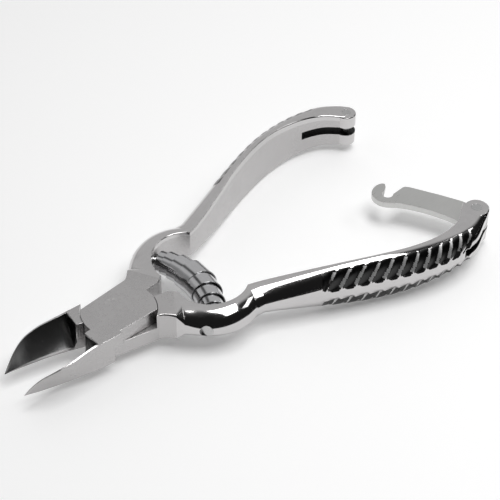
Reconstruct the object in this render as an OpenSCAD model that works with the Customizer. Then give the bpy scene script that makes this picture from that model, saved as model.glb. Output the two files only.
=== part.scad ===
// Heavy-duty toenail nipper: two forged arms in a lap joint, barrel spring, lock hook.
// Both arms are drawn closed, with the jaws along -X, and then turned open about Z.
// The origin is on the pivot axis, in the flat back face of the joint.

/* [Joint] */
// Thickness of the joint across its two flat faces
joint_t = 8.8; // [8:0.2:10]
// Width of the joint across its sides
joint_w = 14; // [13:0.5:15]
// Radius of the round shoulders that the halved plates turn in
shoulder_r = 10; // [9.6:0.2:10.4]
// Angle between the closed and the open position of one arm against the other
open_angle = 16; // [10:1:20]
// Radius of the pivot pin's shaft
pivot_r = 3; // [2.5:0.1:3.5]

/* [Handles] */
// Radius of the pocket that the spring stands in
pocket_r = 9.8; // [9.6:0.1:9.9]
// Number of flutes along the grip
flutes = 12; // [6:1:14]
// Depth of each flute
flute_depth = 0.8; // [0.3:0.1:1.2]
// Height of the slot in each fork
slot_h = 2.6; // [2.2:0.1:3]

/* [Lock] */
// Thickness of the hook plate
hook_t = 1.8; // [1.4:0.1:2]
// Radius of the catch pin
catch_r = 1.3; // [1:0.1:1.4]
// Radius of the rivet that the hook turns on
hook_rivet_r = 1.5; // [1.2:0.1:1.7]
// Angle of the hook against its locked position
hook_swing = 33; // [0:1:40]

/* [Spring] */
// Width of the spring strip
strip_w = 5.2; // [4.6:0.1:5.2]
// Thickness of the spring strip
strip_t = 0.35; // [0.3:0.05:0.4]
// Largest radius of the barrel, in the middle
barrel_r = 4.6; // [4.4:0.1:4.8]
// Smallest radius of the barrel, at its ends
barrel_end_r = 2.5; // [2.4:0.1:2.6]
// Turns on each side of the middle
half_turns = 4; // [3:1:4]

/* [Hidden] */

$fn = 96;
half_open = open_angle / 2;
mid_z = joint_t / 2;
half_t = joint_t / 2;
layer_gap = 0.1;       // between the two halved plates
shoulder_gap = 0.15;   // between a plate's round end and its shoulder
part_gap = 0.15;       // from the closing line to the face of each root
running = 0.03;        // radial clearance of a turning pin
edge_gap = 0.04;       // from the closing line to each cutting edge

// Pivot rivet: a plain shaft with a flush head in the upper plate
pivot_head_r = pivot_r + 1.2;
pivot_head_h = 1.4;

// Spring: its centre line is an arc about the pivot
spring_arc_r = 24.9;
spring_end_a = 31;
spring_half = spring_arc_r * spring_end_a * PI / 180 - strip_w / 2;

// Pocket in the root of each handle
pocket_c = [26.4, 1.4];
pocket_from = 179;
pocket_to = 43;

// Fork ends: the catch pin in the upper arm, the hook's rivet in the lower one
catch_c = [101.3, 12.3];
catch_knuckle_r = 2.9;
rivet_c = [102.8, 13.4];
rivet_knuckle_r = 3.5;
rivet_tail = [1.6, 0.7];
fork_w = 10.4;
slot_back = [90.3, 20];
slot_turn = -38;
hook_reach = norm([catch_c[0] - rivet_c[0], catch_c[1] + rivet_c[1]]);
hook_locked_a = atan2(catch_c[1] + rivet_c[1], catch_c[0] - rivet_c[0]);

// Spring studs: where each one leaves the pocket, and the way it points
stud_tilt = 145;
stud_wall_r = 1.75;
stud_tip_r = 1.2;
stud_wall_from = 0.9;
stud_wall_to = 6.6;
stud_tip_l = 1.8;

// Jaw stations: x, outer top edge y and z, outer bottom edge y and z, cutting edge z
jaw_form = [
    [-11.4, -6.05, 4.35, -6.0, -4.35, -4.3],
    [-14,   -5.8, 4.3, -5.4, -4.35, -3.7],
    [-17.5, -5.6, 4.0, -4.4, -4.3, -3.3],
    [-21,   -5.3, 3.6, -3.4, -4.2, -3.0],
    [-25,   -4.3, 2.8, -2.2, -4.0, -2.9],
    [-28.5, -2.5, 1.3, -1.2, -3.7, -2.9],
    [-31,   -1.0, -0.9, -0.5, -3.3, -2.95],
    [-32.6, -0.1, -2.85, -0.08, -3.05, -3.0]
];
hollow_from = -12.2;
hollow_full = -15.5;
rim = 0.05;            // rim and bevel are shares of the jaw's height
bevel = 0.15;
hollow_depth = 0.1;

// Handle stations: inner x, y and outer x, y, width along Z, roundness of the outer side
root_form = [
    [13.6, 0.25, 9.0,  7.2, 8.7, 0],
    [14.5, 0.3,  10.3, 8.2, 8.7, 0.05]
];
pocket_outer = [
    [13.4, 11.1, 8.6, 0.3],
    [16.6, 13.9, 8.5, 0.95],
    [20.6, 16.0, 8.7, 1],
    [25.2, 16.8, 9.1, 1],
    [29.6, 16.2, 9.0, 1],
    [33.0, 14.9, 8.7, 1]
];
grip_form = [
    [35.8, 8.4,  35.6, 14.5, 8.8, 1],
    [40.0, 9.5,  38.6, 15.2, 9.6, 1],
    [49.1, 12.4, 47.6, 17.6, 11.8, 1],
    [57.8, 15.3, 56.4, 19.9, 13.8, 1],
    [68.2, 18.0, 67.4, 22.6, 14.7, 1],
    [77.5, 19.3, 77.5, 24.4, 14.1, 1],
    [87.0, 18.6, 88.4, 24.4, 12.6, 0.9],
    [94.4, 15.9, 97.6, 21.6, 11.2, 0.6],
    [98.8, 11.6, 102.6, 17.0, 10.4, 0.3],
    [100.6, 9.9, 104.6, 13.6, 10.1, 0.2]
];
corner_r = 0.5;
arc_steps = 5;
pocket_steps = 10;
grip_steps = 90;
jaw_steps = 22;
flutes_from = 50;
flutes_to = 97;
flute_slant = 0.7;
flute_at = 0.56;       // middle of a row of flutes, and half its height below,
flute_half = 0.37;     // both as shares of half the handle's width

// Point between b and c on a smooth curve through a, b, c and d
function smooth_mix(a, b, c, d, t) =
    b + t * ((c - a) / 2 + t * (a - 2.5 * b + 2 * c - d / 2 + t * (1.5 * (b - c) + (d - a) / 2)));

// Row at place u of a list of rows, where u runs from 0 to the last row's number
function row_at(rows, u) =
    let (last = len(rows) - 1, i = min(floor(u), last - 1))
    smooth_mix(
        rows[max(i - 1, 0)], rows[i], rows[i + 1], rows[min(i + 2, last)], u - i
    );

function clamp01(v) = max(0, min(1, v));
function ease(v) = let (c = clamp01(v)) c * c * (3 - 2 * c);
function mix(a, b, t) = a + (b - a) * t;

// Side faces of a sweep through rings that all have the same number of points
function sweep_faces(rings, count) = concat(
    [[for (j = [0 : count - 1]) j]],
    [for (i = [0 : rings - 2], j = [0 : count - 1])
        let (k = (j + 1) % count)
        [i * count + j, (i + 1) * count + j, (i + 1) * count + k]],
    [for (i = [0 : rings - 2], j = [0 : count - 1])
        let (k = (j + 1) % count)
        [i * count + j, (i + 1) * count + k, i * count + k]],
    [[for (j = [count - 1 : -1 : 0]) (rings - 1) * count + j]]
);

module sweep(rings) {
    count = len(rings[0]);
    polyhedron([for (r = rings, p = r) p], sweep_faces(len(rings), count), convexity = 8);
}

// Depth of the two rows of flutes at distance x along the grip and height z from its middle
function flute_cut(x, z, w) =
    let (
        pitch = (flutes_to - flutes_from) / flutes,
        along = (x - flutes_from - abs(z) * flute_slant) / pitch,
        ends = ease((x - flutes_from) / 3) * ease((flutes_to - x) / 3),
        side = sqrt(max(0, 1 - pow((abs(2 * z / w) - flute_at) / flute_half, 2)))
    )
    flute_depth * abs(sin(180 * along)) * ends * side;

// Section of a handle: flat inside, rounded outside. s is one station of the handle.
function handle_ring(s) =
    let (
        inner = [s[0], s[1]],
        span = [s[2] - s[0], s[3] - s[1]],
        t = norm(span),
        way = span / t,
        h = s[4] / 2,
        rn = mix(corner_r, t * 0.94, s[5]),
        rz = mix(corner_r, h * 0.97, s[5]),
        lower = [for (i = [0 : arc_steps]) let (a = 90 * i / arc_steps)
            [t - rn + rn * sin(a), -h + rz - rz * cos(a)]],
        upper = [for (i = [0 : arc_steps]) let (a = 90 * i / arc_steps)
            [t - rn + rn * cos(a), h - rz + rz * sin(a)]],
        flat = concat([[0, -h]], lower, upper, [[0, h]])
    )
    [for (p = flat)
        let (n = p[0] - flute_cut(s[2], p[1], s[4]) * clamp01(p[0] / t))
        [inner[0] + way[0] * n, inner[1] + way[1] * n, p[1]]];

// Stations of a whole handle, from inside the root block to the fork. tail moves the end out.
function handle_stations(tail) =
    let (
        pocket = [for (i = [0 : pocket_steps])
            let (
                u = i / pocket_steps,
                a = mix(pocket_from, pocket_to, u),
                o = row_at(pocket_outer, u * (len(pocket_outer) - 1))
            )
            [pocket_c[0] + pocket_r * cos(a), pocket_c[1] + pocket_r * sin(a),
                o[0], o[1], o[2], clamp01(o[3])]],
        grip = [for (i = [0 : grip_steps])
            let (s = ease((i / grip_steps - 0.8) / 0.2))
            row_at(grip_form, (len(grip_form) - 1) * i / grip_steps)
                + [0, 0, s * tail[0], s * tail[1], 0, 0]]
    )
    concat(root_form, pocket, grip);

module handle(tail) {
    sweep([for (s = handle_stations(tail)) handle_ring(s)]);
}

// Section of a jaw: cutting edge, outer wall, rim, hollow and bevel. row is its station.
function jaw_ring(row) =
    let (
        open = ease((hollow_from - row[0]) / (hollow_from - hollow_full)),
        cut = [-mix(part_gap + 0.05, edge_gap, open), row[5]],
        bottom = [row[3], row[4]],
        top = [row[1], row[2]],
        h = norm(cut - top),
        down = (cut - top) / h,
        out = [-down[1], down[0]],
        rim_in = top + h * (0.02 * down + rim * out),
        bevel_top = cut + h * (0.02 * out - bevel * down),
        corner = [-part_gap - 0.05, row[2]],
        wall = [corner[0], mix(row[5], row[2], 0.3)],
        steps = 6,
        hollow = [for (i = [0 : steps])
            let (
                u = i / steps,
                block = u < 0.5
                    ? mix(top + [0.4, 0], corner, 2 * u)
                    : mix(corner, wall, 2 * u - 1),
                scoop = mix(rim_in, bevel_top, u) - hollow_depth * h * sin(180 * u) * out
            )
            mix(block, scoop, open)]
    )
    [for (p = concat([cut, bottom, top], hollow)) [row[0], p[0], p[1]]];

module jaw() {
    sweep([for (i = [0 : jaw_steps])
        jaw_ring(row_at(jaw_form, (len(jaw_form) - 1) * i / jaw_steps))]);
}

// Root of the handle, seen from above
module root_outline() {
    side = joint_w / 2;
    polygon([
        [5, part_gap], [14.4, part_gap], [14.8, 0.6], [10.6, 7.8], [9.6, side], [5, side]
    ]);
}

// Root of the jaw, seen from above
module heel_outline() {
    side = joint_w / 2;
    polygon([
        [-5, -part_gap], [-12, -part_gap], [-12.8, -5.9], [-9, -6.5], [-5, -side]
    ]);
}

// Halved plate of the joint, seen from above
module plate_outline() {
    side = joint_w / 2;
    intersection() {
        circle(r = shoulder_r, $fn = 180);
        polygon([[-12, -side + 1.6], [7, -side], [12, -side], [12, side], [-12, side]]);
    }
}

// One arm, closed, with its middle plane at z = 0. The upper arm has its plate above.
module arm(above, knuckle_c, knuckle_r, bore_r, tail) {
    plate_z = above ? layer_gap / 2 : -half_t;
    cut_z = above ? -half_t - 1 : -layer_gap / 2;
    cut_h = half_t + 1 + layer_gap / 2;
    difference() {
        union() {
            difference() {
                translate([0, 0, -half_t])
                    linear_extrude(joint_t) {
                        root_outline();
                        heel_outline();
                    }
                translate([0, 0, cut_z])
                    cylinder(r = shoulder_r + shoulder_gap, h = cut_h, $fn = 180);
            }
            translate([0, 0, plate_z])
                linear_extrude(half_t - layer_gap / 2) plate_outline();
            handle(tail);
            jaw();
            translate([knuckle_c[0], knuckle_c[1], 0])
                cylinder(r = knuckle_r, h = fork_w - 0.2, center = true);
        }
        fork_slot();
        translate([knuckle_c[0], knuckle_c[1], 0])
            cylinder(r = bore_r, h = 2 * fork_w, center = true);
        stud_place() cylinder(r = stud_wall_r, h = 12);
    }
}

module fork_slot() {
    translate([slot_back[0], slot_back[1], 0])
        rotate([0, 0, slot_turn])
            translate([0, -12, -slot_h / 2])
                cube([24, 24, slot_h]);
}

// Stud axis in an arm's closed position, starting in the middle of the spring's end
module stud_place() {
    rotate([0, 0, -half_open])
        rotate([0, 0, spring_end_a])
            translate([spring_arc_r, 0, 0])
                rotate([0, 0, stud_tilt - spring_end_a])
                    rotate([0, 90, 0])
                        children();
}

module spring_stud() {
    stud_place() {
        translate([0, 0, stud_wall_from])
            cylinder(r = stud_wall_r, h = stud_wall_to - stud_wall_from);
        translate([0, 0, -stud_tip_l])
            cylinder(r = stud_tip_r, h = stud_tip_l + stud_wall_from);
    }
}

// Places in the open position
module upper_place() {
    translate([0, 0, mid_z]) rotate([0, 0, half_open]) children();
}

module lower_place() {
    translate([0, 0, mid_z]) rotate([0, 0, -half_open]) mirror([0, 1, 0]) children();
}

module upper_arm() {
    color("silver")
        difference() {
            upper_place() arm(true, catch_c, catch_knuckle_r, catch_r, [0, 0]);
            translate([0, 0, -1])
                cylinder(r = pivot_r + running, h = joint_t + 2);
            translate([0, 0, joint_t - pivot_head_h - 0.05])
                cylinder(r = pivot_head_r + running, h = pivot_head_h + 1);
        }
}

module lower_arm() {
    color("lightgray")
        difference() {
            lower_place() arm(false, rivet_c, rivet_knuckle_r, hook_rivet_r, rivet_tail);
            translate([0, 0, -1])
                cylinder(r = pivot_r, h = joint_t + 2);
        }
}

module pivot_pin() {
    color("gainsboro") {
        cylinder(r = pivot_r, h = joint_t);
        translate([0, 0, joint_t - pivot_head_h])
            cylinder(r = pivot_head_r, h = pivot_head_h);
    }
}

module upper_spring_stud() {
    color("dimgray") upper_place() spring_stud();
}

module lower_spring_stud() {
    color("dimgray") lower_place() spring_stud();
}

module catch_pin() {
    color("gray")
        upper_place()
            translate([catch_c[0], catch_c[1], 0])
                cylinder(r = catch_r, h = fork_w - 0.2, center = true);
}

module hook_rivet() {
    color("gray")
        lower_place()
            translate([rivet_c[0], rivet_c[1], 0])
                cylinder(r = hook_rivet_r, h = fork_w - 0.2, center = true);
}

// Radius and place along the centre line of the strip, where u runs from -1 to 1
function strip_r(u) = mix(barrel_r, barrel_end_r, abs(u)) - strip_t / 2;
function strip_place(u) = spring_half * (1.5 * u - 0.5 * u * u * u);

// Point of the spring: bent from a straight barrel on to the arc about the pivot
function bent(along, r, a) =
    let (turn = (along / spring_arc_r) * 180 / PI, out = spring_arc_r + r * cos(a))
    [out * cos(turn), out * sin(turn), r * sin(a)];

module barrel_spring() {
    per_turn = 26;
    n = 2 * half_turns * per_turn;
    rings = [for (i = [0 : n])
        let (
            u = 2 * i / n - 1,
            a = 360 * half_turns * u,
            r = strip_r(u),
            c = strip_place(u)
        )
        [
            bent(c - strip_w / 2, r - strip_t / 2, a),
            bent(c - strip_w / 2, r + strip_t / 2, a),
            bent(c + strip_w / 2, r + strip_t / 2, a),
            bent(c + strip_w / 2, r - strip_t / 2, a)
        ]];
    color("slategray") translate([0, 0, mid_z]) sweep(rings);
}

// Outer side of the hook, from its tip round to the rivet, with the rivet at the origin
// and the catch pin's seat along +X
hook_form = [
    [27.35, -2.6], [28.1, -3.7], [29.3, -3.1], [30.2, -1.2], [30.1, 1.2], [28.8, 2.9],
    [26.6, 3.8], [24.2, 3.5], [20.6, 2.3], [15.1, 1.7], [9.1, 1.9], [3, 2.8]
];

module hook_outline() {
    seat_r = catch_r + 0.25;
    smooth = 3 * (len(hook_form) - 1);
    base = [for (i = [0 : 12]) 3.4 * [cos(100 + 13.3 * i), sin(100 + 13.3 * i)]];
    outer = [for (i = [0 : smooth]) row_at(hook_form, i / 3)];
    difference() {
        polygon(concat(base, [
            [3, -5.2], [6, -5.6], [12.2, -5.6], [21.4, -5.2], [22.4, -4.9], [22.85, -4.4],
            [hook_reach - 1.1, 0.3], [hook_reach + 1.2, 0.3]
        ], outer));
        translate([hook_reach, 0]) circle(r = seat_r);
        circle(r = hook_rivet_r + running);
    }
}

module lock_hook() {
    color("silver")
        translate([0, 0, mid_z])
            rotate([0, 0, -half_open])
                translate([rivet_c[0], -rivet_c[1], -hook_t / 2])
                    rotate([0, 0, hook_locked_a + hook_swing])
                        linear_extrude(hook_t) hook_outline();
}

upper_arm();
lower_arm();
pivot_pin();
barrel_spring();
upper_spring_stud();
lower_spring_stud();
lock_hook();
hook_rivet();
catch_pin();
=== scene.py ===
"""Toenail nipper: detailed forged arms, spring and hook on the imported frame."""

import math

import bmesh
import bpy
import numpy as np
from mathutils import Matrix, Vector


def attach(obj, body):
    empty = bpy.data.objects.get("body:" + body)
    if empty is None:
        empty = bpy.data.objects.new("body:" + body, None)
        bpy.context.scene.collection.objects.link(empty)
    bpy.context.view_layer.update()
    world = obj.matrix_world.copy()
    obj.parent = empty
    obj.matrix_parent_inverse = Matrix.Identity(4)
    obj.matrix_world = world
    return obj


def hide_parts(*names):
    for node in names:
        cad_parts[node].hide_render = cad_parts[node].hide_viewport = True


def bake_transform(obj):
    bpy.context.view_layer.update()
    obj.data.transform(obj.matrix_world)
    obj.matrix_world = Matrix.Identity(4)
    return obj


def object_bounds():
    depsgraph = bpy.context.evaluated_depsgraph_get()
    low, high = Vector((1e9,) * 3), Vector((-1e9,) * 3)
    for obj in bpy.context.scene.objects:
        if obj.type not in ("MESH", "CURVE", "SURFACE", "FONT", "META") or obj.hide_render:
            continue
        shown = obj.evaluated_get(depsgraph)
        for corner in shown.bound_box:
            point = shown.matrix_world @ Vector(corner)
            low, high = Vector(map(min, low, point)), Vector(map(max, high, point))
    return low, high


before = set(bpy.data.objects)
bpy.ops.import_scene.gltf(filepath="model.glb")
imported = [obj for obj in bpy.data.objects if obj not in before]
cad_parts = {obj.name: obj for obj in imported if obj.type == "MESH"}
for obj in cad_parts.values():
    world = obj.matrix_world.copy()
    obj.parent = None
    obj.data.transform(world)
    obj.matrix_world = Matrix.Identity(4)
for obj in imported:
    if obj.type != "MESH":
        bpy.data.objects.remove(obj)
cad_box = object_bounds()

# Lengths are in mm and angles in degrees, until a piece is scaled to metres by MM.
MM = 0.001
INSET = 0.9999        # keeps the finer facets of the arms inside the solids' own box
HALF_T = 4.4          # half of the joint's thickness
MID_Z = HALF_T        # middle plane of the joint above its back face
LAYER_GAP = 0.1       # between the two plates of the joint
SHOULDER_R = 10.0
SHOULDER_GAP = 0.15
PART_GAP = 0.15       # from the closed tool's middle line to a root or heel
EDGE_GAP = 0.04       # from the middle line to a cutting edge
SIDE = 7.0            # half of the joint's width
BLOCK_CHAMFER = 0.12  # on the plate, heel and root
BEYOND = HALF_T + 1   # a cutter's end outside the joint
HALF_OPEN = 8.0
PIN_R = 3.0
PIN_HEAD_R = 4.2
PIN_HEAD_H = 1.4
PIN_SHORT = 1.0       # the shaft ends this far under the upper face, inside the head
SKIN = 0.04           # how far the rivet's ends lie under the polished faces
PIN_PLAY = 0.01       # between the rivet's ends and the bottoms of their bores

SATIN, POLISH, HOLLOW_SHADE, PAINTED_SHADE, LAND = 0, 1, 2, 3, 4   # material slots of the forged arms; the third and fourth hold painted shade


# ---------------------------------------------------------------- materials

def node_of(tree, kind, inputs=None, **attributes):
    """A shader node with its attributes and unlinked inputs set."""
    n = tree.nodes.new(kind)
    for key, value in attributes.items():
        setattr(n, key, value)
    for key, value in (inputs or {}).items():
        n.inputs[key].default_value = value
    return n


def color_sockets(sockets):
    """The colour sockets of a mix node, which share their names with its number sockets."""
    return [s for s in sockets if s.type == "RGBA"]


def grey(v):
    return (v, v, v, 1)


NOISE_SUM = {"From Min": 0.6, "From Max": 1.4}   # usual span of two noises added up


def steel(name, color, rough, rough_spread, streak=(60, 60, 900), streak_bump=0.1,
          fine_bump=0.03, tint=0.06):
    """Ground or polished steel: soft cloudy tone, stretched grinding marks and rounded edges."""
    m = bpy.data.materials.new(name)
    m.use_nodes = True
    t = m.node_tree
    t.nodes.clear()
    link = t.links.new
    out = node_of(t, "ShaderNodeOutputMaterial")
    shader = node_of(t, "ShaderNodeBsdfPrincipled", {"Metallic": 1.0})
    coords = node_of(t, "ShaderNodeTexCoord")
    place = node_of(t, "ShaderNodeMapping", {"Scale": streak})
    marks = node_of(t, "ShaderNodeTexNoise", {"Scale": 14.0, "Detail": 6.0, "Roughness": 0.65})
    cloud = node_of(t, "ShaderNodeTexNoise", {"Scale": 90.0, "Detail": 4.0})
    fine = node_of(t, "ShaderNodeTexNoise", {"Scale": 2200, "Detail": 2.0})
    link(coords.outputs["Object"], place.inputs["Vector"])
    link(place.outputs["Vector"], marks.inputs["Vector"])
    link(coords.outputs["Object"], cloud.inputs["Vector"])
    link(coords.outputs["Object"], fine.inputs["Vector"])

    both = node_of(t, "ShaderNodeMath", operation="ADD")
    link(marks.outputs["Fac"], both.inputs[0])
    link(cloud.outputs["Fac"], both.inputs[1])
    spread = node_of(t, "ShaderNodeMapRange", {
        **NOISE_SUM, "To Min": rough - rough_spread, "To Max": rough + rough_spread})
    link(both.outputs[0], spread.inputs["Value"])
    link(spread.outputs["Result"], shader.inputs["Roughness"])

    tone = node_of(t, "ShaderNodeMapRange", NOISE_SUM)
    link(both.outputs[0], tone.inputs["Value"])
    blend = node_of(t, "ShaderNodeMix", data_type="RGBA")
    for socket, share in zip(color_sockets(blend.inputs), (1 - tint, 1 + tint)):
        socket.default_value = (*(min(c * share, 1) for c in color), 1)
    link(tone.outputs["Result"], blend.inputs["Factor"])
    link(color_sockets(blend.outputs)[0], shader.inputs["Base Color"])

    edge = node_of(t, "ShaderNodeBevel", {"Radius": 0.12 * MM}, samples=4)
    coarse = node_of(t, "ShaderNodeBump", {"Strength": streak_bump, "Distance": 0.1 * MM})
    small = node_of(t, "ShaderNodeBump", {"Strength": fine_bump, "Distance": 0.05 * MM})
    link(edge.outputs["Normal"], coarse.inputs["Normal"])
    link(marks.outputs["Fac"], coarse.inputs["Height"])
    link(coarse.outputs["Normal"], small.inputs["Normal"])
    link(fine.outputs["Fac"], small.inputs["Height"])
    link(small.outputs["Normal"], shader.inputs["Normal"])
    link(shader.outputs["BSDF"], out.inputs["Surface"])
    return m


satin = steel("satin_steel", (0.50, 0.49, 0.49), 0.28, 0.04, streak_bump=0.06)
polish = steel("polished_steel", (0.58, 0.57, 0.57), 0.09, 0.02, streak=(40, 40, 200),
               streak_bump=0.02, fine_bump=0.01)
# Darker ground steel for the jaw's hollow and the spring stud's bore. The cross grinding marks
# are real, and the darker colour is painted shade.
hollow_shade_steel = steel("hollow_ground_shaded_steel", (0.30, 0.30, 0.30), 0.24, 0.05,
                     streak=(220, 220, 60), streak_bump=0.05)
spring_steel = steel("spring_strip_steel", (0.55, 0.55, 0.56), 0.16, 0.05,
                     streak=(200, 40, 40), streak_bump=0.05)
hook_steel = steel("hook_plate_steel", (0.55, 0.55, 0.54), 0.30, 0.05,
                   streak=(30, 300, 30), streak_bump=0.1)
pin_steel = steel("pin_end_steel", (0.50, 0.50, 0.50), 0.26, 0.06)
# Near-black steel for the flute scoops, the hollow's end wall and the fork's slot: painted shade
# and painted dark reflection. Its higher roughness is the less polished finish there.
recess_painted_shade_steel = steel("recess_painted_shade_steel", (0.045, 0.045, 0.045), 0.30, 0.08, streak=(300, 60, 60),
                     streak_bump=0.12, tint=0.25)
worn_steel = steel("worn_land_steel", (0.60, 0.60, 0.60), 0.55, 0.06, tint=0.1)
ARM_MATS = [satin, polish, hollow_shade_steel, recess_painted_shade_steel, worn_steel]


# ---------------------------------------------------------------- shared shape functions

def smooth_row(rows, u):
    """Row at place u of a list of rows, on a smooth curve through them (Catmull-Rom)."""
    rows = np.asarray(rows, float)
    last = len(rows) - 1
    i = min(int(math.floor(u)), last - 1)
    t = u - i
    a, b, c, d = rows[max(i - 1, 0)], rows[i], rows[i + 1], rows[min(i + 2, last)]
    return b + t * ((c - a) / 2 + t * (a - 2.5 * b + 2 * c - d / 2
                                       + t * (1.5 * (b - c) + (d - a) / 2)))


def clamp01(v):
    return min(max(v, 0.0), 1.0)


def ease(v):
    c = clamp01(v)
    return c * c * (3 - 2 * c)


def mix(a, b, t):
    return a + (b - a) * t


def arm_object(name, me, slots):
    """An object of a mesh whose faces take the slots given, out of the arms' materials."""
    for m in ARM_MATS:
        me.materials.append(m)
    me.polygons.foreach_set("material_index", slots)
    ob = bpy.data.objects.new(name, me)
    bpy.context.scene.collection.objects.link(ob)
    return ob


def sweep_mesh(name, rings, slots):
    """A closed mesh through rings of equal length. slots gives each ring a row, one per side."""
    count = len(rings[0])
    verts = [p for r in rings for p in r]
    faces, mats = [], []
    for i in range(len(rings) - 1):
        for j in range(count):
            k = (j + 1) % count
            faces.append((i * count + j, (i + 1) * count + j,
                          (i + 1) * count + k, i * count + k))
            mats.append(slots[i][j])
    faces.append(tuple(range(count)))
    faces.append(tuple(range(len(verts) - 1, len(verts) - 1 - count, -1)))
    mats += [SATIN, SATIN]
    me = bpy.data.meshes.new(name)
    me.from_pydata([tuple(map(float, v)) for v in verts], [], faces)
    bm = bmesh.new()
    bm.from_mesh(me)
    bmesh.ops.recalc_face_normals(bm, faces=bm.faces)
    bm.to_mesh(me)
    bm.free()
    return arm_object(name, me, mats)


def prism(name, outline, z0, z1, chamfer=0.0, slot=SATIN):
    """An upright prism over an outline, with chamfered top and bottom edges."""
    bm = bmesh.new()
    low = [bm.verts.new((x, y, z0)) for x, y in outline]
    bm.faces.new(low)
    made = bmesh.ops.extrude_face_region(bm, geom=list(bm.faces))
    up = [v for v in made["geom"] if isinstance(v, bmesh.types.BMVert)]
    bmesh.ops.translate(bm, verts=up, vec=(0, 0, z1 - z0))
    bmesh.ops.recalc_face_normals(bm, faces=bm.faces)
    if chamfer:
        rims = [e for e in bm.edges if abs(e.verts[0].co.z - e.verts[1].co.z) < 1e-6]
        bmesh.ops.bevel(bm, geom=rims, offset=chamfer, segments=3, affect="EDGES",
                        profile=0.5)
    me = bpy.data.meshes.new(name)
    bm.to_mesh(me)
    bm.free()
    return arm_object(name, me, [slot] * len(me.polygons))


def circle(r, count, cx=0.0, cy=0.0):
    return [(cx + r * math.cos(2 * math.pi * i / count),
             cy + r * math.sin(2 * math.pi * i / count)) for i in range(count)]


def join_by(target, other, how):
    """Boolean of target with other, which is then removed."""
    bpy.context.view_layer.update()
    mod = target.modifiers.new("join", "BOOLEAN")
    mod.operation = how
    mod.solver = "MANIFOLD"
    mod.material_mode = "INDEX"
    mod.object = other
    dg = bpy.context.evaluated_depsgraph_get()
    me = bpy.data.meshes.new_from_object(target.evaluated_get(dg))
    if len(me.polygons) == 0:
        raise RuntimeError(f"empty result joining {other.name} to {target.name}")
    target.modifiers.clear()
    old = target.data
    target.data = me
    bpy.data.meshes.remove(old)
    bpy.data.objects.remove(other)


# ---------------------------------------------------------------- forged arms

# x, y and z of the outer wall's top, y and z of its bottom, and z of the cutting edge
JAW_FORM = [
    [-11.0, -6.19, 4.4, -6.17, -4.4, -4.38], [-14, -5.8, 4.3, -5.4, -4.35, -3.7],
    [-17.5, -5.6, 4.0, -4.4, -4.3, -3.3], [-21, -5.3, 3.6, -3.4, -4.2, -3.0],
    [-25, -4.3, 2.8, -2.2, -4.0, -2.9], [-28.5, -2.5, 1.3, -1.2, -3.7, -2.9],
    [-31, -1.0, -0.9, -0.5, -3.3, -2.95], [-32.6, -0.1, -2.85, -0.08, -3.05, -3.0],
]
# x and y of the inner face's middle and of the outer face's middle, width, and how round
# the outside is, from 0 for square to 1. The pocket's inner face is an arc, given below.
ROOT_FORM = [
    [13.0, 0.2, 7.8, 7.03, 8.8, 0], [13.7, 0.22, 9.0, 7.35, 8.8, 0],
    [14.5, 0.26, 10.3, 8.2, 8.8, 0], [15.5, 0.8, 11.7, 9.5, 8.78, 0.05],
]
POCKET_OUTER = [
    [13.4, 11.1, 8.6, 0.75], [16.6, 13.9, 8.5, 0.97], [20.6, 16.0, 8.7, 1],
    [25.2, 16.8, 9.1, 1], [29.6, 16.2, 9.0, 1], [33.0, 14.9, 8.7, 1],
]
GRIP_FORM = [
    [35.8, 8.4, 35.6, 14.5, 8.8, 1], [40.0, 9.5, 38.6, 15.2, 9.6, 1],
    [49.1, 12.4, 47.6, 17.6, 11.8, 1], [57.8, 15.3, 56.4, 19.9, 13.8, 1],
    [68.2, 18.0, 67.4, 22.6, 14.7, 1], [77.5, 19.3, 77.5, 24.4, 14.1, 1],
    [87.0, 18.6, 88.4, 24.4, 12.6, 0.9], [94.4, 15.9, 97.6, 21.6, 11.2, 0.6],
    [98.8, 11.6, 102.6, 17.0, 10.4, 0.3], [100.6, 9.9, 104.6, 13.6, 10.1, 0.2],
]
POCKET_C, POCKET_R, POCKET_FROM, POCKET_TO = (26.4, 1.4), 9.8, 179, 43
CORNER_R = 0.5         # outer corners where the outside is square
INNER_R = 0.4          # corners of the inner face
ROUND_N, ROUND_Z = 0.94, 0.97        # full rounding, as shares of the depth and half width
TAIL_FROM = 0.8        # share of the grip from which its outer face is moved to the tail
SATIN_TO = 11.2        # the root keeps its ground faces up to here
FLUTES, FLUTES_FROM, FLUTES_TO, FLUTES_FADE = 12, 50.0, 97.0, 3
FLUTE_SLANT = 0.7      # how far a flute runs along the handle per mm away from its middle
FLUTE_DEPTH = 0.85
FLUTE_EDGE = 0.08      # share of a scoop that is held back, so that its rim is crisp
FLUTE_WALL = 0.91      # share of a flute before its steep wall
FLUTE_AT, FLUTE_HALF = 0.56, 0.37    # middle and half of a flute row, shares of half the width
LAND_HALF = 0.8 * FLUTE_HALF
LANDS_FROM, LANDS_TO = FLUTES_FROM + 3, FLUTES_TO - 1
CUT_SEEN = 0.03        # a flute gets painted shade where it is cut deeper than this
HOLLOW_FROM, HOLLOW_RUN = -12.0, 0.8
RIM, BEVEL, HOLLOW_DEPTH, LIP = 0.05, 0.08, 0.03, 0.02   # shares of the jaw's height
HEEL_PLAY, HEEL_RIM, HEEL_WALL = 0.05, 0.4, 0.3   # play and rim in mm, wall a share of its height
FORK_W, SLOT_H = 10.4, 2.6
KNUCKLE_W, KNUCKLE_CHAMFER = FORK_W - 0.2, 0.4
SLOT_LONG, SLOT_HALF_W = 24, 12      # the cutter of the fork, longer and wider than the end
SLOT_BACK, SLOT_TURN = (90.3, 20.0), -38
CATCH_C, CATCH_KNUCKLE_R, CATCH_R = (101.3, 12.3), 2.9, 1.3
RIVET_C, RIVET_KNUCKLE_R, RIVET_R = (102.8, 13.4), 3.5, 1.5
RIVET_TAIL = (1.6, 0.7)
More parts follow.
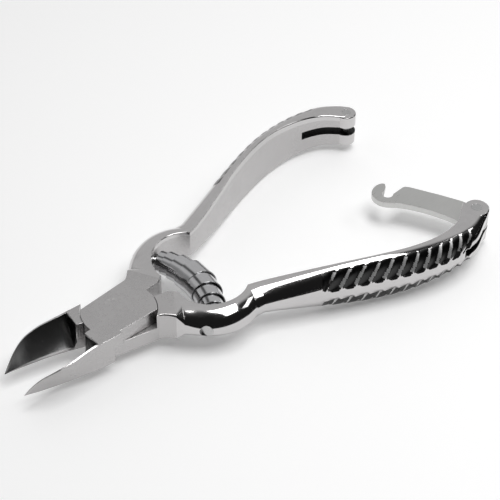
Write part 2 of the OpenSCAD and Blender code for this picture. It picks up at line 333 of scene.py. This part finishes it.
STUD_AT, STUD_TURN, STUD_R = (22.92, 9.73, 0.0), 137, 1.75
STUD_BORE = 12         # longer than the root is thick
POCKET_STEPS, GRIP_STEPS, JAW_STEPS = 60, 420, 110
# sides of a handle's section: inner corner, outer corner and inner face
QUARTER, ARC, FLAT = 4, 22, 8
# sides of a jaw's section: bottom to cutting edge, outer wall and inner wall
UNDER, WALL, INNER = 3, 10, 28


def flute_at(x, z):
    """Number of flutes before a place on the grip."""
    pitch = (FLUTES_TO - FLUTES_FROM) / FLUTES
    return (x - FLUTES_FROM - abs(z) * FLUTE_SLANT) / pitch


def flute_cut(x, z, w):
    """Depth of the flutes at a place on a grip of width w."""
    ends = ease((x - FLUTES_FROM) / FLUTES_FADE) * ease((FLUTES_TO - x) / FLUTES_FADE)
    side = math.sqrt(max(0.0, 1 - ((abs(2 * z / w) - FLUTE_AT) / FLUTE_HALF) ** 2))
    t = flute_at(x, z) % 1.0
    scoop = (math.sin(math.pi / 2 * t / FLUTE_WALL) if t < FLUTE_WALL
             else (1 - t) / (1 - FLUTE_WALL))
    return FLUTE_DEPTH * max(0.0, scoop * side - FLUTE_EDGE) * ends


def flute_slot(x, z, w):
    """Painted shade in a flute, worn on the land between two flutes, else polished."""
    if flute_cut(x, z, w) > CUT_SEEN and flute_at(x, z) % 1.0 < FLUTE_WALL:
        return PAINTED_SHADE
    near = abs(abs(2 * z / w) - FLUTE_AT) < LAND_HALF
    return LAND if near and LANDS_FROM < x < LANDS_TO else POLISH


def handle_ring(s):
    """Section of a handle: flat inside, rounded outside, with eased inner corners."""
    ax, ay, bx, by, w, k = s
    t = math.hypot(bx - ax, by - ay)
    wx, wy = (bx - ax) / t, (by - ay) / t
    h = w / 2
    rn = mix(CORNER_R, t * ROUND_N, clamp01(k))
    rz = mix(CORNER_R, h * ROUND_Z, clamp01(k))
    c = min(INNER_R, (t - rn) * 0.8)
    quarter = [math.pi / 2 * i / QUARTER for i in range(QUARTER + 1)]
    turn = [math.pi / 2 * i / ARC for i in range(ARC + 1)]
    flat = [(c - c * math.cos(a), -h + c - c * math.sin(a)) for a in quarter]
    flat += [(t - rn + rn * math.sin(a), -h + rz - rz * math.cos(a)) for a in turn]
    flat += [(t - rn + rn * math.cos(a), h - rz + rz * math.sin(a)) for a in turn]
    flat += [(c - c * math.sin(a), h - c + c * math.cos(a)) for a in quarter]
    flat += [(0, (h - c) * (1 - 2 * i / FLAT)) for i in range(1, FLAT)]
    ring = []
    for n, z in flat:
        n -= flute_cut(bx, z, w) * clamp01(n / t)
        ring.append((ax + wx * n, ay + wy * n, z))
    return ring


def handle_slots(s):
    """Material slot of each side of a handle's section."""
    if s[2] < SATIN_TO:
        return [SATIN] * (2 * (QUARTER + 1) + 2 * (ARC + 1) + FLAT - 1)
    rounding = [math.sin(math.pi / 2 * i / ARC) for i in range(ARC + 1)]
    # The lower half runs from the middle out and handle_ring's runs in, so the painted shade of
    # the lower flutes sits a little off its cuts.
    heights = [-ROUND_Z * r for r in rounding] + rounding
    outside = [flute_slot(s[2], s[4] / 2 * z, s[4]) for z in heights]
    corner = [POLISH] * (QUARTER + 1)
    return corner + outside + corner + [SATIN] * (FLAT - 1)


def handle_stations(tail):
    """Rows for handle_ring along the root, the pocket and the grip."""
    rows = [list(r) for r in ROOT_FORM]
    for i in range(POCKET_STEPS + 1):
        u = i / POCKET_STEPS
        a = math.radians(mix(POCKET_FROM, POCKET_TO, u))
        o = smooth_row(POCKET_OUTER, u * (len(POCKET_OUTER) - 1))
        rows.append([POCKET_C[0] + POCKET_R * math.cos(a),
                     POCKET_C[1] + POCKET_R * math.sin(a), *o])
    for i in range(GRIP_STEPS + 1):
        row = smooth_row(GRIP_FORM, (len(GRIP_FORM) - 1) * i / GRIP_STEPS)
        row[2:4] += ease((i / GRIP_STEPS - TAIL_FROM) / (1 - TAIL_FROM)) * np.array(tail)
        rows.append(list(row))
    return rows


def jaw_ring(row):
    """Section of a jaw: cutting edge, outer wall, rim, hollow and bevel.

    The inner wall is a square step at the heel and opens into the hollow over HOLLOW_RUN.
    """
    opened = clamp01((HOLLOW_FROM - row[0]) / HOLLOW_RUN)
    part = PART_GAP + HEEL_PLAY
    cut = np.array([-mix(part, EDGE_GAP, opened), row[5]])
    bottom, top = np.array([row[3], row[4]]), np.array([row[1], row[2]])
    h = np.linalg.norm(cut - top)
    down = (cut - top) / h
    out = np.array([-down[1], down[0]])
    rim_in = top + h * (LIP * down + RIM * out)
    bevel_top = cut + h * (LIP * out - BEVEL * down)
    corner = np.array([-part, row[2]])
    wall = np.array([-part, mix(row[5], row[2], HEEL_WALL)])
    ring = [cut] + [mix(cut, bottom, i / UNDER) for i in range(1, UNDER)]
    ring += [mix(bottom, top, i / WALL) for i in range(WALL + 1)]
    for i in range(INNER + 1):
        u = i / INNER
        block = (mix(top + [HEEL_RIM, 0], corner, 2 * u) if u < 0.5
                 else mix(corner, wall, 2 * u - 1))
        scoop = mix(rim_in, bevel_top, u) - HOLLOW_DEPTH * h * math.sin(math.pi * u) * out
        ring.append(mix(block, scoop, opened))
    return [(row[0], p[0], p[1]) for p in ring]


def jaw_slots(row):
    """Material slot of each side of a jaw's section: heel, end wall of the hollow, hollow. The
    end wall and the hollow get painted shade.
    """
    if row[0] > HOLLOW_FROM:
        return [SATIN] * (UNDER + WALL + INNER + 2)
    inner = PAINTED_SHADE if row[0] > HOLLOW_FROM - HOLLOW_RUN else HOLLOW_SHADE
    return [SATIN] * (UNDER + WALL + 1) + [inner] * INNER + [SATIN]


def outlines():
    """Outlines of the blocks of root and heel and of the joint's plate."""
    root = [(5, PART_GAP), (14.2, PART_GAP), (14.4, 0.6), (9.8, 6.4), (8.3, SIDE), (5, SIDE)]
    heel = [(-5, -SIDE), (-9, -6.5), (-11.3, -6.14), (-11.3, -PART_GAP), (-5, -PART_GAP)]
    slope_from, slope_run, slope_drop = 7, 19, 1.6   # the plate narrows towards the jaws
    plate = []
    for x, y in circle(SHOULDER_R, 360):
        low = -SIDE + slope_drop * max(slope_from - x, 0) / slope_run
        plate.append((x, min(max(y, low), SIDE)))
    return root, heel, plate


def spin(turn, axis="Z"):
    return Matrix.Rotation(math.radians(turn), 4, axis)


def forged_arm(name, above, knuckle_c, knuckle_r, bore_r, tail=(0, 0)):
    """One forging, drawn closed, with its handle on the +y side and about z = 0.

    above tells whether its plate of the joint is the one on the +z side.
    """
    root, heel, plate = outlines()
    block = prism(name, root, -HALF_T, HALF_T, BLOCK_CHAMFER)
    join_by(block, prism("heel", heel, -HALF_T, HALF_T, BLOCK_CHAMFER), "UNION")
    z0, z1 = (-BEYOND, LAYER_GAP / 2) if above else (-LAYER_GAP / 2, BEYOND)
    join_by(block, prism("seat", circle(SHOULDER_R + SHOULDER_GAP, 360), z0, z1), "DIFFERENCE")
    p0, p1 = (LAYER_GAP / 2, HALF_T) if above else (-HALF_T, -LAYER_GAP / 2)
    join_by(block, prism("plate", plate, p0, p1, BLOCK_CHAMFER), "UNION")
    stations = handle_stations(tail)
    join_by(block, sweep_mesh("handle", [handle_ring(s) for s in stations],
                              [handle_slots(s) for s in stations]), "UNION")
    jaw = [smooth_row(JAW_FORM, (len(JAW_FORM) - 1) * i / JAW_STEPS)
           for i in range(JAW_STEPS + 1)]
    join_by(block, sweep_mesh("jaw", [jaw_ring(row) for row in jaw],
                              [jaw_slots(row) for row in jaw]), "UNION")
    knuckle = prism("knuckle", circle(knuckle_r, 96, *knuckle_c), -KNUCKLE_W / 2,
                    KNUCKLE_W / 2, KNUCKLE_CHAMFER, POLISH)
    join_by(block, knuckle, "UNION")
    slot_box = [(0, -SLOT_HALF_W), (SLOT_LONG, -SLOT_HALF_W), (SLOT_LONG, SLOT_HALF_W),
                (0, SLOT_HALF_W)]
    # The slot's cut faces take the near-black painted shade.
    slot = prism("slot", slot_box, -SLOT_H / 2, SLOT_H / 2, slot=PAINTED_SHADE)
    slot.data.transform(Matrix.Translation((*SLOT_BACK, 0)) @ spin(SLOT_TURN))
    join_by(block, slot, "DIFFERENCE")
    bore = prism("bore", circle(bore_r, 64, *knuckle_c), -FORK_W, FORK_W)
    join_by(block, bore, "DIFFERENCE")
    # The bore's walls take the darker steel, painted shade in the hole.
    stud = prism("stud_bore", circle(STUD_R, 64), 0, STUD_BORE, slot=HOLLOW_SHADE)
    stud.data.transform(Matrix.Translation(STUD_AT) @ spin(STUD_TURN) @ spin(90, "Y"))
    join_by(block, stud, "DIFFERENCE")
    if above:
        bores = [(PIN_R, -BEYOND, HALF_T - SKIN),
                 (PIN_HEAD_R, HALF_T - PIN_HEAD_H, HALF_T - SKIN)]
    else:
        bores = [(PIN_R, SKIN - HALF_T, BEYOND)]
    for r, low, high in bores:
        join_by(block, prism("pin_bore", circle(r, 128), low, high), "DIFFERENCE")
    return block


def open_out(ob, upper):
    """From the closed place about z = 0 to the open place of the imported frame, in metres."""
    m = Matrix.Translation((0, 0, MID_Z)) @ spin(HALF_OPEN if upper else -HALF_OPEN)
    if not upper:
        m = m @ Matrix.Diagonal((1, -1, 1, 1))
    ob.data.transform(Matrix.Scale(MM * INSET, 4) @ m)
    if not upper:
        ob.data.flip_normals()
    return ob


def finish_shade(ob, material=None, angle=28.0):
    """Smooth shading with sharp edges, and one material in place of the arms' where given."""
    me = ob.data
    if material:
        me.materials.clear()
        me.materials.append(material)
    me.polygons.foreach_set("use_smooth", [True] * len(me.polygons))
    me.set_sharp_from_angle(angle=math.radians(angle))
    mod = ob.modifiers.new("weighted", "WEIGHTED_NORMAL")
    mod.keep_sharp = True
    return ob


upper = open_out(forged_arm("upper_forging", True, CATCH_C, CATCH_KNUCKLE_R, CATCH_R), True)
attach(finish_shade(upper), "upper_arm")
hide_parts("upper_arm")
lower = open_out(forged_arm("lower_forging", False, RIVET_C, RIVET_KNUCKLE_R, RIVET_R,
                            RIVET_TAIL), False)
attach(finish_shade(lower), "lower_arm")
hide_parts("lower_arm")


# ---------------------------------------------------------------- barrel spring

STRIP_W, STRIP_T, BARREL_R, BARREL_END_R, HALF_TURNS = 5.2, 0.35, 4.6, 2.5, 4
STRIP_CORNER, CORNER_STEPS, STEPS_PER_TURN = 0.1, 3, 96
SPRING_ARC_R, SPRING_END_A = 24.9, 31.0
SPRING_HALF = SPRING_ARC_R * math.radians(SPRING_END_A) - STRIP_W / 2


def bent(along, r, a):
    """A place on the spring, from its place along the axis, which is an arc about the pivot."""
    turn = along / SPRING_ARC_R
    out = SPRING_ARC_R + r * math.cos(a)
    return (out * math.cos(turn), out * math.sin(turn), r * math.sin(a))


def spring_piece():
    """A strip wound as a double volute, with turns that are smaller and closer at the ends."""
    profile = []
    for cx, cr, start in ((-1, -1, 180), (1, -1, 270), (1, 1, 0), (-1, 1, 90)):
        for i in range(CORNER_STEPS + 1):
            a = math.radians(start + 90 / CORNER_STEPS * i)
            profile.append((cx * (STRIP_W / 2 - STRIP_CORNER) + STRIP_CORNER * math.cos(a),
                            cr * (STRIP_T / 2 - STRIP_CORNER) + STRIP_CORNER * math.sin(a)))
    steps = 2 * HALF_TURNS * STEPS_PER_TURN
    rings = []
    for i in range(steps + 1):
        u = 2 * i / steps - 1
        a = 2 * math.pi * HALF_TURNS * u
        r = mix(BARREL_R, BARREL_END_R, abs(u)) - STRIP_T / 2
        mid = SPRING_HALF * (1.5 * u - 0.5 * u ** 3)
        rings.append([bent(mid + s, r + d, a) for s, d in profile])
    ob = sweep_mesh("spring_strip", rings, [[SATIN] * len(profile)] * len(rings))
    ob.data.transform(Matrix.Scale(MM, 4) @ Matrix.Translation((0, 0, MID_Z)))
    return finish_shade(ob, spring_steel, 35)


spring = spring_piece()
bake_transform(spring)
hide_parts("barrel_spring")


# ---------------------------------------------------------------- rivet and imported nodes

def rivet():
    """The pivot rivet, a shaft and a head, with its ends just under the polished faces."""
    face = 2 * MID_Z
    ob = prism("pivot_rivet", circle(PIN_R, 128), SKIN + PIN_PLAY, face - PIN_SHORT)
    head = prism("head", circle(PIN_HEAD_R, 128), face - PIN_HEAD_H,
                 face - SKIN - PIN_PLAY, 0.05)
    join_by(ob, head, "UNION")
    ob.data.transform(Matrix.Scale(MM, 4))
    finish_shade(ob, pin_steel)
    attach(ob, "lower_arm")
    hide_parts("pivot_pin")


rivet()

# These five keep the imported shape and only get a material.
for name, mat in (("upper_spring_stud", pin_steel),
                  ("lower_spring_stud", pin_steel), ("lock_hook", hook_steel),
                  ("hook_rivet", pin_steel), ("catch_pin", pin_steel)):
    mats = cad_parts[name].data.materials
    mats.clear()
    mats.append(mat)


# ---------------------------------------------------------------- stage, light and camera
# Lengths are in metres here, but for CAMERA_T.

low, high = (Vector(v) for v in cad_box)
middle = (low + high) / 2
FLOOR_HALF, FLOOR_GAP = 3.0, 0.0002

floor_mesh = bpy.data.meshes.new("floor")
floor_mesh.from_pydata([(-FLOOR_HALF, -FLOOR_HALF, 0), (FLOOR_HALF, -FLOOR_HALF, 0),
                        (FLOOR_HALF, FLOOR_HALF, 0), (-FLOOR_HALF, FLOOR_HALF, 0)],
                       [], [(0, 1, 2, 3)])
floor = bpy.data.objects.new("floor", floor_mesh)
floor.location = (0, 0, low.z - FLOOR_GAP)
bpy.context.scene.collection.objects.link(floor)
pale = bpy.data.materials.new("pale_floor")
pale.use_nodes = True
pb = pale.node_tree.nodes["Principled BSDF"]
pb.inputs["Base Color"].default_value = grey(0.9)
pb.inputs["Roughness"].default_value = 0.9
pb.inputs["Specular IOR Level"].default_value = 0.1
pb.inputs["Emission Color"].default_value = grey(1)
pb.inputs["Emission Strength"].default_value = 0.2
floor_mesh.materials.append(pale)

# The studio: dark towards the viewer (-Y), and bright and dark panels from left to right
# behind, each given by its place from 0 to 1 and its brightness.
VIEWER_SIDE = 0.015
PANELS = ((0.0, 0.25), (0.16, 0.30), (0.24, 0.66), (0.34, 0.60), (0.38, 0.08), (0.46, 0.10),
          (0.52, 0.62), (1.0, 0.62))

world = bpy.data.worlds.new("studio")
world.use_nodes = True
wt = world.node_tree
background = wt.nodes["Background"]
background.inputs["Strength"].default_value = 1.0
toward = node_of(wt, "ShaderNodeTexCoord")
parts = node_of(wt, "ShaderNodeSeparateXYZ")
fade = node_of(wt, "ShaderNodeMapRange", {"From Min": -0.12, "From Max": 0.22},
               interpolation_type="SMOOTHSTEP")
sky = node_of(wt, "ShaderNodeMix", data_type="RGBA")
near_side, far_side = color_sockets(sky.inputs)
near_side.default_value = grey(VIEWER_SIDE)
across = node_of(wt, "ShaderNodeMapRange", {"From Min": -1.0, "From Max": 1.0})
panels = node_of(wt, "ShaderNodeValToRGB")
while len(panels.color_ramp.elements) < len(PANELS):
    panels.color_ramp.elements.new(0.5)
for stop, (at, shade) in zip(panels.color_ramp.elements, PANELS):
    stop.position = at
    stop.color = grey(shade)
wt.links.new(toward.outputs["Generated"], parts.inputs["Vector"])
wt.links.new(parts.outputs["X"], across.inputs["Value"])
wt.links.new(across.outputs["Result"], panels.inputs["Fac"])
wt.links.new(panels.outputs["Color"], far_side)
wt.links.new(parts.outputs["Y"], fade.inputs["Value"])
wt.links.new(fade.outputs["Result"], sky.inputs["Factor"])
wt.links.new(color_sockets(sky.outputs)[0], background.inputs["Color"])
bpy.context.scene.world = world


def softbox(name, at, aim, wide, tall, power):
    """A rectangular lamp. at and aim are counted from the middle of the tool."""
    data = bpy.data.lights.new(name, "AREA")
    data.shape = "RECTANGLE"
    data.size, data.size_y, data.energy = wide, tall, power
    ob = bpy.data.objects.new(name, data)
    ob.location = middle + Vector(at)
    ob.rotation_euler = (Vector(aim) - Vector(at)).to_track_quat("-Z", "Y").to_euler()
    bpy.context.scene.collection.objects.link(ob)


softbox("overhead", (0.12, -0.12, 0.55), (0.12, -0.12, 0.0), 0.26, 0.44, 2.2)
softbox("right", (0.50, -0.22, 0.50), (0.07, -0.03, 0), 0.34, 0.16, 0.5)


def table_card():
    """A dark ring sector on the floor that only shows in reflections, for their black bands."""
    name = "table_card"
    from_a, to_a, steps = 185, 355, 24
    inner_r, outer_r, lift, shade = 0.085, 1.2, 0.0005, 0.01
    verts = []
    for i in range(steps + 1):
        a = math.radians(from_a + (to_a - from_a) * i / steps)
        for r in (inner_r, outer_r):
            verts.append((middle.x + r * math.cos(a), middle.y + r * math.sin(a), low.z + lift))
    faces = [(2 * i, 2 * i + 2, 2 * i + 3, 2 * i + 1) for i in range(steps)]
    me = bpy.data.meshes.new(name)
    me.from_pydata(verts, [], faces)
    m = bpy.data.materials.new(name)
    m.use_nodes = True
    t = m.node_tree
    t.nodes.clear()
    out = node_of(t, "ShaderNodeOutputMaterial")
    glow = node_of(t, "ShaderNodeEmission", {"Color": grey(shade), "Strength": 1.0})
    t.links.new(glow.outputs[0], out.inputs["Surface"])
    me.materials.append(m)
    ob = bpy.data.objects.new(name, me)
    bpy.context.scene.collection.objects.link(ob)
    ob.visible_camera = False
    ob.visible_shadow = False
    ob.visible_diffuse = False


table_card()

# Solved from the photo: lens and joint's middle in camera axes (mm) and turns (degrees).
LENS, YAW, PITCH, ROLL = 127.49, -38.12, 42.62, 0.41
CAMERA_T = (-33.82, 18.50, 458.5)


def camera():
    """The camera of the photo."""
    yaw, pitch, roll = (math.radians(v) for v in (YAW, PITCH, ROLL))
    right = Vector((math.cos(yaw), math.sin(yaw), 0))
    ahead = Vector((-math.sin(yaw) * math.cos(pitch), math.cos(yaw) * math.cos(pitch),
                    -math.sin(pitch)))
    up = right.cross(ahead)
    r = math.cos(roll) * right + math.sin(roll) * up
    u = -math.sin(roll) * right + math.cos(roll) * up
    tx, ty, tz = CAMERA_T
    at = -(r * tx - u * ty + ahead * tz) + Vector((0, 0, MID_Z))
    data = bpy.data.cameras.new("camera")
    data.lens, data.sensor_width = LENS, 36
    data.clip_start, data.clip_end = 0.01, 20
    ob = bpy.data.objects.new("camera", data)
    m = Matrix((r, u, -ahead)).transposed().to_4x4()
    m.translation = at * MM
    ob.matrix_world = m
    bpy.context.scene.collection.objects.link(ob)
    bpy.context.scene.camera = ob


camera()
scene = bpy.context.scene
scene.view_settings.view_transform = "Standard"
scene.view_settings.look = "None"
